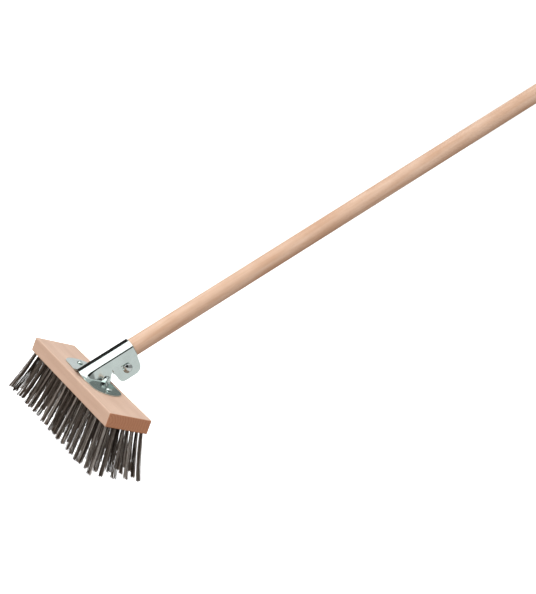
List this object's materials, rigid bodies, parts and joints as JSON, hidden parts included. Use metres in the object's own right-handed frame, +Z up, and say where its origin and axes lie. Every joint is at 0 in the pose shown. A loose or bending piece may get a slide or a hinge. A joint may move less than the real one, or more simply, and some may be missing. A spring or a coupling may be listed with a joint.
{
  "type": "steel wire scrubbing brush",
  "caption": "Long-handled scrubbing brush: wooden block set with stiff steel-wire tufts, pressed-steel clamp holder and a round wooden handle.",
  "frame": {"origin": "centre of the block's long front face", "axes": "+X along the block, +Y towards the side the handle rises to, +Z up from the wires to the holder"},
  "size_m": [0.2852, 1.019, 1.1024],
  "materials": {
    "block_wood": "plain sanded beech",
    "handle_wood": "smooth pale wood",
    "steel_wire": "dark drawn steel wire",
    "zinc_sheet": "bright zinc plate",
    "zinc_bolt": "bright zinc plate",
    "screw_steel": "bright zinc plate"
  },
  "bodies": {
    "handle": {"wooden_handle": "handle_wood"},
    "head": {"wooden_block": "block_wood", "wire_tufts_01": "steel_wire", "wire_tufts_02": "steel_wire", "wire_tufts_03": "steel_wire", "wire_tufts_04": "steel_wire", "wire_tufts_05": "steel_wire", "wire_tufts_06": "steel_wire", "wire_tufts_07": "steel_wire", "wire_tufts_08": "steel_wire", "wire_tufts_09": "steel_wire", "wire_tufts_10": "steel_wire", "wire_tufts_11": "steel_wire", "wire_tufts_12": "steel_wire", "wire_tufts_13": "steel_wire", "wire_tufts_14": "steel_wire", "wire_tufts_15": "steel_wire", "wire_tufts_16": "steel_wire", "wire_tufts_17": "steel_wire", "wire_tufts_18": "steel_wire", "wire_tufts_19": "steel_wire", "wire_tufts_20": "steel_wire", "handle_holder": "zinc_sheet", "plate_screw_left": "screw_steel", "plate_screw_right": "screw_steel", "clamp_bolt": "zinc_bolt", "clamp_washer": "zinc_bolt"},
    "nut": {"clamp_nut": "zinc_bolt"}
  },
  "joints": [
    {"name": "head_slide", "type": "slide", "parent": "handle", "child": "head", "axis": [0, -0.6947, -0.7193], "range_m": [0, 0.05]},
    {"name": "nut_spin", "type": "hinge", "parent": "head", "child": "nut", "pos_m": [0, 0.06924, 0.03435], "axis": [1, 0, 0], "continuous": true}
  ]
}
